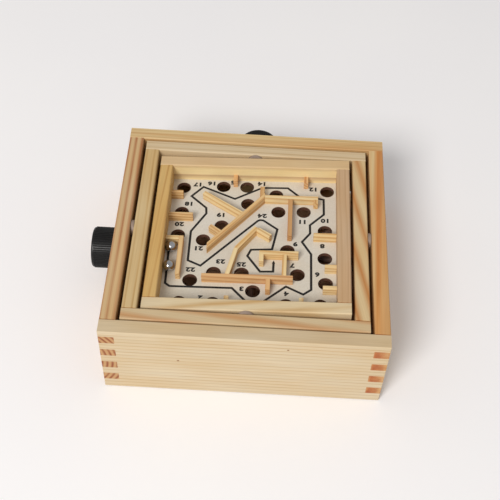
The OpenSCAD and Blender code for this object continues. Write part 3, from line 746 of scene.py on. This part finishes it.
# %% Hole numbers
NUMBERS = {
    17: (-42.2, 55.3), 16: (-31.8, 56.7), 15: (-14.7, 58.2), 14: (5.6, 57.6), 12: (43.9, 53.4),
    24: (6.9, 26.3), 11: (36.2, 21.6), 10: (52.8, 23.2), 18: (-47.3, 36.0), 19: (-23.0, 26.1),
    20: (-52.8, 16.3), 21: (-37.3, -5.6), 22: (-41.3, -24.7), 23: (-20.8, -16.8), 25: (-6.0, -18.9),
    9: (31.5, 0.7), 8: (50.7, -0.4), 7: (29.8, -18.5), 6: (47.3, -25.8), 3: (-4.8, -40.0),
    4: (26.2, -43.1), 2: (-32.5, -48.6), 1: (-37.5, -54.5), 5: (41.0, -54.5), 13: (27.5, 43.0),
}
DIGIT_HEIGHT = 3.4
# A digit's share of the size that a font is given
DIGIT_SHARE = 0.7
DIGIT_SWELL = 0.28
DIGIT_SPACE = 1.1
DIGIT_WIDEN = 1.25
DIGIT_STEPS = 3
DIGIT_WELD = 0.0005


def as_mesh(maker):
    """What an object evaluates to, as a plain mesh; the object and its modifiers go."""
    bpy.context.view_layer.update()
    evaluated = maker.evaluated_get(bpy.context.evaluated_depsgraph_get())
    data = bpy.data.meshes.new_from_object(evaluated)
    maker.modifiers.clear()
    bpy.data.objects.remove(maker)
    return data


upside_down = Matrix.Rotation(math.pi, 4, "Z") @ Matrix.Diagonal((DIGIT_WIDEN, 1, 1, 1))
digits = bmesh.new()
for number, (x, y) in NUMBERS.items():
    text = bpy.data.curves.new("digits", "FONT")
    text.body = str(number)
    text.size = DIGIT_HEIGHT / DIGIT_SHARE
    text.align_x = "CENTER"
    text.align_y = "CENTER"
    text.extrude = INK_THICK / 2
    text.offset = DIGIT_SWELL
    text.space_character = DIGIT_SPACE
    text.resolution_u = DIGIT_STEPS
    flat = as_mesh(new_object("digits", text))
    flat.transform(Matrix.Translation((x, y, INK_THICK / 2)) @ upside_down)
    digits.from_mesh(flat)
    bpy.data.curves.remove(text)
    bpy.data.meshes.remove(flat)
bmesh.ops.remove_doubles(digits, verts=digits.verts, dist=DIGIT_WELD)
printed("hole_numbers", mesh_of(digits, "hole_numbers"))
print("printed", len(NUMBERS), "numbers")

# %% [markdown]
# Ribs of the knobs
# A knob is a moulded black cap that is gripped by fine ribs along its side. The ribs are the
# same little bar many times. A loop could place them one by one, but a Geometry Nodes tree
# keeps their number and size as inputs: it sets one bar on each point of a circle, joins them
# with the cap, and makes real faces of the copies.

# %% Rib tree
RIB_SIDES = 8


def rib_tree(material):
    """A tree that adds ribs to a cap, and the identifiers of its inputs."""
    tree = bpy.data.node_groups.new("knob_ribs", "GeometryNodeTree")
    face = tree.interface
    face.new_socket("Cap", in_out="INPUT", socket_type="NodeSocketGeometry")
    count = face.new_socket("Rib Count", in_out="INPUT", socket_type="NodeSocketInt")
    radius = face.new_socket("Circle Radius", in_out="INPUT", socket_type="NodeSocketFloat")
    thick = face.new_socket("Rib Radius", in_out="INPUT", socket_type="NodeSocketFloat")
    length = face.new_socket("Rib Length", in_out="INPUT", socket_type="NodeSocketFloat")
    face.new_socket("Knob", in_out="OUTPUT", socket_type="NodeSocketGeometry")
    make = tree.nodes.new
    link = tree.links.new
    given = make("NodeGroupInput")
    result = make("NodeGroupOutput")
    circle = make("GeometryNodeMeshCircle")
    link(given.outputs["Rib Count"], circle.inputs["Vertices"])
    link(given.outputs["Circle Radius"], circle.inputs["Radius"])
    bar = make("GeometryNodeMeshCylinder")
    bar.inputs["Vertices"].default_value = RIB_SIDES
    link(given.outputs["Rib Radius"], bar.inputs["Radius"])
    link(given.outputs["Rib Length"], bar.inputs["Depth"])
    # A bar is made round its middle, so half its length lifts its foot to the cap's back
    lift = make("ShaderNodeVectorMath")
    lift.operation = "SCALE"
    lift.inputs[0].default_value = (0, 0, 0.5)
    link(given.outputs["Rib Length"], lift.inputs["Scale"])
    raised = make("GeometryNodeTransform")
    link(bar.outputs["Mesh"], raised.inputs["Geometry"])
    link(lift.outputs[0], raised.inputs["Translation"])
    copies = make("GeometryNodeInstanceOnPoints")
    link(circle.outputs["Mesh"], copies.inputs["Points"])
    link(raised.outputs["Geometry"], copies.inputs["Instance"])
    whole = make("GeometryNodeJoinGeometry")
    link(given.outputs["Cap"], whole.inputs["Geometry"])
    link(copies.outputs["Instances"], whole.inputs["Geometry"])
    real = make("GeometryNodeRealizeInstances")
    link(whole.outputs["Geometry"], real.inputs["Geometry"])
    finish = make("GeometryNodeSetMaterial")
    finish.inputs["Material"].default_value = material
    link(real.outputs["Geometry"], finish.inputs["Geometry"])
    link(finish.outputs["Geometry"], result.inputs["Knob"])
    return tree, {"count": count.identifier, "radius": radius.identifier,
                  "thick": thick.identifier, "length": length.identifier}


ribs, rib_inputs = rib_tree(black_plastic)
print("rib tree with", len(ribs.nodes), "nodes")

# %% [markdown]
# Caps of the knobs
# The cap has a hollow back with a boss for the shaft, a rounded rim, and a thin groove on its
# face. Cylinders could be cut out of each other for it. Sweeping one profile of radius and
# height round the axis, as on a lathe, gives clean rings of faces instead. The tree then adds
# the ribs, and each knob is laid on the axis of its solid.

# %% Knob profile
KNOB_R = 15.0
KNOB_LEN = 18.0
KNOB_RIM = 1.25
RIM_STEPS = 6
RIB_COUNT = 60
RIB_R = 0.45
RIB_STOP = 0.5
CAP_R = KNOB_R - RIB_R
SHAFT_R = 2.5
BOSS_R = 5.5
CUP_R = 12.3
CUP_DEEP = 15.0
BOSS_EASE = 0.3
CUP_EASE = 0.2
BACK_EASE = 0.3
GROOVE_OUT = 9.2
GROOVE_IN = 8.4
GROOVE_SLOPE = 0.2
GROOVE_Z = KNOB_LEN - 0.25
TURNS = 96


def rim_arc():
    """The rounded rim, from the side of the cap to its face."""
    angles = [math.pi / 2 * i / RIM_STEPS for i in range(RIM_STEPS + 1)]
    return [(CAP_R - KNOB_RIM * (1 - math.cos(a)), KNOB_LEN - KNOB_RIM * (1 - math.sin(a))) for a in angles]


KNOB_PROFILE = [
    (SHAFT_R, CUP_DEEP), (SHAFT_R, BOSS_EASE), (SHAFT_R + BOSS_EASE, 0), (BOSS_R, 0), (BOSS_R, CUP_DEEP),
    (CUP_R, CUP_DEEP), (CUP_R, CUP_EASE), (CUP_R + CUP_EASE, 0), (CAP_R - BACK_EASE, 0), (CAP_R, BACK_EASE),
    *rim_arc(),
    (GROOVE_OUT, KNOB_LEN), (GROOVE_OUT - GROOVE_SLOPE, GROOVE_Z),
    (GROOVE_IN + GROOVE_SLOPE, GROOVE_Z), (GROOVE_IN, KNOB_LEN),
]
print("knob profile of", len(KNOB_PROFILE), "points")

# %% [markdown]
# Turning the caps
# Blender's Spin tool could sweep the profile too, but it leaves a seam to merge. Rings of
# points that share their first and last column need no merging, and a tip on the axis closes
# both ends. Normals are then recalculated, so that all faces point outwards.

# %% Ribbed knobs
SMOOTH_UP_TO = 35


def turned(profile):
    """A profile of radius and height swept round Z; both ends close on the axis."""
    shape = bmesh.new()
    angles = [2 * math.pi * k / TURNS for k in range(TURNS)]
    rings = [[shape.verts.new((r * math.cos(a), r * math.sin(a), z)) for a in angles] for r, z in profile]
    for low, high in zip(rings, rings[1:]):
        for k in range(TURNS):
            shape.faces.new((low[k], low[(k + 1) % TURNS], high[(k + 1) % TURNS], high[k]))
    for ring in (rings[0], rings[-1]):
        tip = shape.verts.new((0, 0, ring[0].co.z))
        for k in range(TURNS):
            shape.faces.new((ring[k], ring[(k + 1) % TURNS], tip))
    bmesh.ops.recalc_face_normals(shape, faces=shape.faces)
    return shape


def smooth_by_angle(data, degrees):
    data.shade_smooth()
    data.set_sharp_from_angle(angle=math.radians(degrees))


def knob(node, turn):
    """A ribbed cap, turned to lie along the axis of its solid."""
    maker = new_object(node + "_maker", mesh_of(turned(KNOB_PROFILE), node + "_cap"))
    modifier = maker.modifiers.new("ribs", "NODES")
    modifier.node_group = ribs
    modifier[rib_inputs["count"]] = RIB_COUNT
    modifier[rib_inputs["radius"]] = CAP_R
    modifier[rib_inputs["thick"]] = RIB_R
    modifier[rib_inputs["length"]] = KNOB_LEN - KNOB_RIM - RIB_STOP
    data = as_mesh(maker)
    low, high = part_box(node)
    axis = turn @ Vector((0, 0, 1))
    foot = (low + high) / 2 - axis * (KNOB_LEN / 2 * MM)
    data.transform(Matrix.Translation(foot) @ turn @ Matrix.Scale(MM, 4))
    smooth_by_angle(data, SMOOTH_UP_TO)
    show(node + "_ribbed", data, node, black_plastic)


knob("side_knob", Matrix.Rotation(-math.pi / 2, 4, "Y"))
knob("rear_knob", Matrix.Rotation(-math.pi / 2, 4, "X"))
print("knobs of", RIB_COUNT, "ribs")

# %% [markdown]
# Balls
# A bearing ball is a true sphere, polished enough to mirror the room. The solid's flat facets
# would show in every reflection, and shading alone would leave its outline angular. A finer
# sphere of the same size, shaded smooth, takes its place.

# %% Polished balls
BALL_AROUND = 64
BALL_UP = 32

for node in ("ball_1", "ball_2"):
    low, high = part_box(node)
    shape = bmesh.new()
    bmesh.ops.create_uvsphere(shape, u_segments=BALL_AROUND, v_segments=BALL_UP, radius=(high.x - low.x) / 2)
    data = mesh_of(shape, node + "_polished")
    data.shade_smooth()
    data.transform(Matrix.Translation((low + high) / 2))
    show(node + "_polished", data, node, ball_steel)
print("balls polished")

# %% [markdown]
# Twisted cords and springs
# Under the tray each shaft winds a cord twice round itself. A cord is a twist of three strands,
# so its section is a three-lobed curve that turns as it goes along. Three strands could be laid
# by hand. A tree does it for any path: it turns the path by its length and sweeps a section
# along it. With a round section the same tree makes the wire of a spring.

# %% Twist tree
LOBES = 3
LOBE_VALLEY = 0.72
WIRE_SIDES = 10


def sweep_tree(name, material, lobed):
    """A tree that sweeps a section along a path, and the identifiers of its inputs."""
    tree = bpy.data.node_groups.new(name, "GeometryNodeTree")
    face = tree.interface
    face.new_socket("Path", in_out="INPUT", socket_type="NodeSocketGeometry")
    radius = face.new_socket("Radius", in_out="INPUT", socket_type="NodeSocketFloat")
    twist = face.new_socket("Turns per Metre", in_out="INPUT", socket_type="NodeSocketFloat")
    face.new_socket("Strand", in_out="OUTPUT", socket_type="NodeSocketGeometry")
    make = tree.nodes.new
    link = tree.links.new
    given = make("NodeGroupInput")
    result = make("NodeGroupOutput")
    full = make("ShaderNodeMath")
    full.operation = "MULTIPLY"
    full.inputs[1].default_value = 2 * math.pi
    link(given.outputs["Turns per Metre"], full.inputs[0])
    along = make("GeometryNodeSplineParameter")
    angle = make("ShaderNodeMath")
    angle.operation = "MULTIPLY"
    link(along.outputs["Length"], angle.inputs[0])
    link(full.outputs[0], angle.inputs[1])
    turned_path = make("GeometryNodeSetCurveTilt")
    link(given.outputs["Path"], turned_path.inputs["Curve"])
    link(angle.outputs[0], turned_path.inputs["Tilt"])
    if lobed:
        section = make("GeometryNodeCurveStar")
        section.inputs["Points"].default_value = LOBES
        inner = make("ShaderNodeMath")
        inner.operation = "MULTIPLY"
        inner.inputs[1].default_value = LOBE_VALLEY
        link(given.outputs["Radius"], inner.inputs[0])
        link(inner.outputs[0], section.inputs["Inner Radius"])
        link(given.outputs["Radius"], section.inputs["Outer Radius"])
    else:
        section = make("GeometryNodeCurvePrimitiveCircle")
        section.inputs["Resolution"].default_value = WIRE_SIDES
        link(given.outputs["Radius"], section.inputs["Radius"])
    sweep = make("GeometryNodeCurveToMesh")
    sweep.inputs["Fill Caps"].default_value = True
    link(turned_path.outputs["Curve"], sweep.inputs["Curve"])
    link(section.outputs["Curve"], sweep.inputs["Profile Curve"])
    real = make("GeometryNodeRealizeInstances")
    link(sweep.outputs["Mesh"], real.inputs["Geometry"])
    finish = make("GeometryNodeSetMaterial")
    finish.inputs["Material"].default_value = material
    link(real.outputs["Geometry"], finish.inputs["Geometry"])
    link(finish.outputs["Geometry"], result.inputs["Strand"])
    return tree, radius.identifier, twist.identifier


twine_tree = sweep_tree("twisted_twine", cord_twine, True)
wire_tree = sweep_tree("spring_wire", painted_shade_steel, False)
print("sweep trees ready")

# %% [markdown]
# Where a cord runs
# From its winding a cord goes straight up to both sides of the frame that it pulls. One end is
# knotted through a screw eye, and the other is tied to a spring that hooks into the second eye
# and keeps the cord tight. The points could be picked by hand, but a taut cord leaves its shaft
# on a tangent, so they are worked out: first in a flat view along the shaft, with the third
# number for the place on the shaft, then laid into the box.

# %% Winding and spring
CORD_R = 0.5
WIND_GAP = 0.3
WIND_R = SHAFT_R + WIND_GAP + CORD_R
WIND_TURNS = 2
WIND_HALF = 1.6
TURN_POINTS = 24
EYE_REACH = 1.0
SPRING_WIRE = 0.3
SPRING_R = 1.7
SPRING_TURNS = 10
SPRING_STEP = 1.15
SPRING_LEG = 2.5
SPRING_TAIL = 2.2
CURL_POINTS = 16
CORD_END = 2 * SPRING_LEG + SPRING_TURNS * SPRING_STEP


def touch_angle(shaft, eye, way):
    """The angle round the shaft at which a straight cord to an eye leaves the winding."""
    run = Vector(eye) - Vector(shaft)
    return math.atan2(run.y, run.x) + way * math.acos(WIND_R / run.length)


def wound(shaft, eye_a, eye_b):
    """Points round the shaft, from the cord to one eye to the cord to the other."""
    first = touch_angle(shaft, eye_a, -1)
    whole = first - touch_angle(shaft, eye_b, 1) + 2 * math.pi * WIND_TURNS
    steps = TURN_POINTS * WIND_TURNS
    points = []
    for k in range(steps + 1):
        angle = first - whole * k / steps
        points.append(Vector((shaft[0] + WIND_R * math.cos(angle),
                              shaft[1] + WIND_R * math.sin(angle),
                              -WIND_HALF + 2 * WIND_HALF * k / steps)))
    return points


def spring_points(eye, out):
    """A spring from its hook in an eye down to the end of the cord."""
    side_way = out.cross(Vector((0, 0, 1))).normalized()
    other_way = out.cross(side_way)
    hook = eye + out * (EYE_REACH + 2 * SPRING_WIRE)
    wire = [hook + other_way * SPRING_TAIL, hook, eye, eye - out * (SPRING_LEG / 2)]
    for k in range(SPRING_TURNS * CURL_POINTS + 1):
        turn = k / CURL_POINTS
        angle = 2 * math.pi * turn
        r = SPRING_R * min(1, turn * 2, (SPRING_TURNS - turn) * 2)
        ring = math.cos(angle) * side_way + math.sin(angle) * other_way
        wire.append(eye - out * (SPRING_LEG + turn * SPRING_STEP) + r * ring)
    return wire + [eye - out * (CORD_END - SPRING_LEG / 2), eye - out * CORD_END]


print("winding of", WIND_TURNS, "turns, spring of", SPRING_TURNS)

# %% [markdown]
# Knots and ties
# A knot holds the cord behind its eye, and a tie holds it on the spring. A real knot is a loop
# through a loop. At this size only its swelling shows, so the cord simply gets thicker there:
# each point of a run carries its own thickness for the sweep.

# %% Routes of the cords
RUN_STEPS = 12
KNOT_LEN = 3.0
# How far along a knot, and how thick it is there, in cords
KNOT_SHAPE = ((0, 1), (0.15, 2.6), (0.35, 3.9), (0.5, 4.2), (0.65, 3.9), (0.85, 2.4), (1, 1))
TIE_SHAPE = ((0.2, 1.5), (0.4, 2.2), (0.6, 2.2), (0.8, 1.5), (1, 0.9))
# Shafts and eyes in the flat view, and the place of the winding on its shaft
FRAME_SHAFT = (4, 31)
FRAME_EYE_OUT = 76.5
FRAME_EYE_UP = 48.8
FRAME_CORD_X = -76.5
TRAY_SHAFT = (1.5, 37)
TRAY_EYE_OUT = 67.125
TRAY_EYE_UP = 44
TRAY_CORD_Y = 16.0


def cord_route(shaft, eye_a, eye_b):
    """Winding, knotted run, tied run and spring, as points with their thickness."""
    winding = wound(shaft, eye_a, eye_b)
    a = Vector((*eye_a, -WIND_HALF))
    b = Vector((*eye_b, WIND_HALF))
    out_a = (a - winding[0]).normalized()
    out_b = (b - winding[-1]).normalized()
    knotted = [(winding[0].lerp(a, k / RUN_STEPS), 1) for k in range(RUN_STEPS + 1)]
    knotted += [(a + out_a * (EYE_REACH + KNOT_LEN * share), size) for share, size in KNOT_SHAPE]
    tie = b - out_b * (CORD_END + KNOT_LEN)
    tied = [(winding[-1].lerp(tie, k / RUN_STEPS), 1) for k in range(RUN_STEPS + 1)]
    tied += [(tie + out_b * (KNOT_LEN * share), size) for share, size in TIE_SHAPE]
    wire = spring_points(b, out_b)
    return [(p, 1) for p in winding], knotted, tied, [(p, 1) for p in wire]


def leaned_eye(x, z):
    """An eye of the tray, which leans at rest."""
    place = tray_lean @ Vector((x, 0, z))
    return place.x, place.z


def along_left_wall(point):
    return Vector((FRAME_CORD_X + point.z, point.x, point.y))


def across_box(point):
    return Vector((point.x, TRAY_CORD_Y + point.z, point.y))


frame_routes = cord_route(FRAME_SHAFT, (-FRAME_EYE_OUT, FRAME_EYE_UP), (FRAME_EYE_OUT, FRAME_EYE_UP))
tray_routes = cord_route(TRAY_SHAFT, leaned_eye(-TRAY_EYE_OUT, TRAY_EYE_UP),
                         leaned_eye(TRAY_EYE_OUT, TRAY_EYE_UP))
print("cord routes:", len(frame_routes), "and", len(tray_routes), "runs")

# %% [markdown]
# Cords between the box and the frames
# A cord starts on a shaft in the box and ends on a frame that tilts, so it has to give way
# between the two. A rigid cord would tear off its eye at the first tilt. Here only the winding is
# attached to the box; the other runs and the springs are strands of their own, left where they
# are swept, so they do not follow the frames. The tray's cord passes two joints, so its first
# short stretch, the lead, is swept apart from the rest.

# %% Hang the cords
TWIST = 260
LEAD_POINTS = 2
SMOOTH_STRAND = 50
drives = {
    "frame": (frame_routes, along_left_wall, ("box", "middle_frame")),
    "tray": (tray_routes, across_box, ("box", "middle_frame", "maze_tray")),
}


def swept(name, points, tree, radius, turns):
    """A strand along points, thicker where they say so."""
    curve = bpy.data.curves.new(name, "CURVE")
    curve.dimensions = "3D"
    spline = curve.splines.new("POLY")
    spline.points.add(len(points) - 1)
    for target, (place, size) in zip(spline.points, points):
        target.co = (*(place * MM), 1)
        target.radius = size
    maker = new_object(name, curve)
    modifier = maker.modifiers.new("sweep", "NODES")
    group, radius_input, twist_input = tree
    modifier.node_group = group
    modifier[radius_input] = radius * MM
    modifier[twist_input] = float(turns)
    data = as_mesh(maker)
    smooth_by_angle(data, SMOOTH_STRAND)
    return new_object(name, data)


def hang(name, points, chain):
    """Cord from the box to the last body of a chain, its lead swept apart when the chain has three bodies;
    returns the point where the rest starts.
    """
    lead = LEAD_POINTS * (len(chain) - 2)
    split = points[lead][0]
    if lead:
        first = swept(name + "_lead", points[:lead + 1], twine_tree, CORD_R, TWIST)
        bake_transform(first)
    rest = swept(name, points[lead:], twine_tree, CORD_R, TWIST)
    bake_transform(rest)
    return split


for drive, (routes, place, chain) in drives.items():
    winding, knotted, tied, wire = [[(place(p), size) for p, size in route] for route in routes]
    around = swept(drive + "_cord_winding", winding, twine_tree, CORD_R, TWIST)
    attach(around, "box")
    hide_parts(drive + "_cord")
    hang(drive + "_cord_knotted", knotted, chain)
    tied_from = hang(drive + "_cord_tied", tied, chain)
    coil = swept(drive + "_spring_coil", wire, wire_tree, SPRING_WIRE, 0)
    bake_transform(coil)
    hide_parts(drive + "_spring")
    runs = (winding, knotted, tied)
    length = sum((b[0] - a[0]).length for run in runs for a, b in zip(run, run[1:]))
    print(drive, "cord", round(length), "mm")

# %% [markdown]
# Studio
# A pale floor, a soft lamp from the near left, as the shadows in the maze tell, and an even
# room light keep the wood at the brightness that its colours are written in. More lamps would
# wash the shadows out of the maze, and a stronger one would bleach the paper.

# %% Floor, lamp and world
FLOOR_HALF = 3.0
FLOOR_DROP = 0.5 * MM
ROOM_STRENGTH = 0.52


def floor():
    """A wide pale plane, just under the puzzle."""
    material, tree, shader, place = begin("pale_floor")
    grain = noise(tree, place.outputs["Object"], cells=6, detail=2.0, seed=1)
    colour = spread(tree, grain, linear(251, 250, 252), linear(253, 252, 253))
    tree.links.new(colour, shader.inputs["Base Color"])
    shader.inputs["Roughness"].default_value = 0.8
    shape = bmesh.new()
    bmesh.ops.create_grid(shape, x_segments=1, y_segments=1, size=FLOOR_HALF)
    data = mesh_of(shape, "pale_floor")
    set_finish(data, material)
    plane = new_object("pale_floor", data)
    plane.location.z = -FLOOR_DROP
    plane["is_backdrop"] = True


def lamp(name, place, aim, size, watts, colour):
    """A soft round lamp that looks at a point."""
    data = bpy.data.lights.new(name, "AREA")
    data.shape = "DISK"
    data.size = size
    data.energy = watts
    data.color = colour
    holder = new_object(name, data)
    holder.location = place
    holder.rotation_mode = "QUATERNION"
    holder.rotation_quaternion = (Vector(aim) - Vector(place)).to_track_quat("-Z", "Y")


floor()
lamp("near_left_lamp", place=(-1.0, -1.9, 2.0), aim=(0, 0, 0.05), size=1.2, watts=57.0,
     colour=(1.0, 0.98, 0.955))
world = bpy.data.worlds.new("soft_room")
world.use_nodes = True
room = world.node_tree.nodes["Background"]
room.inputs["Color"].default_value = linear(244, 242, 240)
room.inputs["Strength"].default_value = ROOM_STRENGTH
bpy.context.scene.world = world
bpy.context.scene.view_settings.view_transform = "Standard"
print("studio ready")

# %% [markdown]
# Finish
# The last cell prints the size of the dressed puzzle, in millimetres.

# %% Sizes and finish
final_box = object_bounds()
low, high = final_box
print("dressed size", [round((b - a) / MM, 1) for a, b in zip(low, high)], "mm")
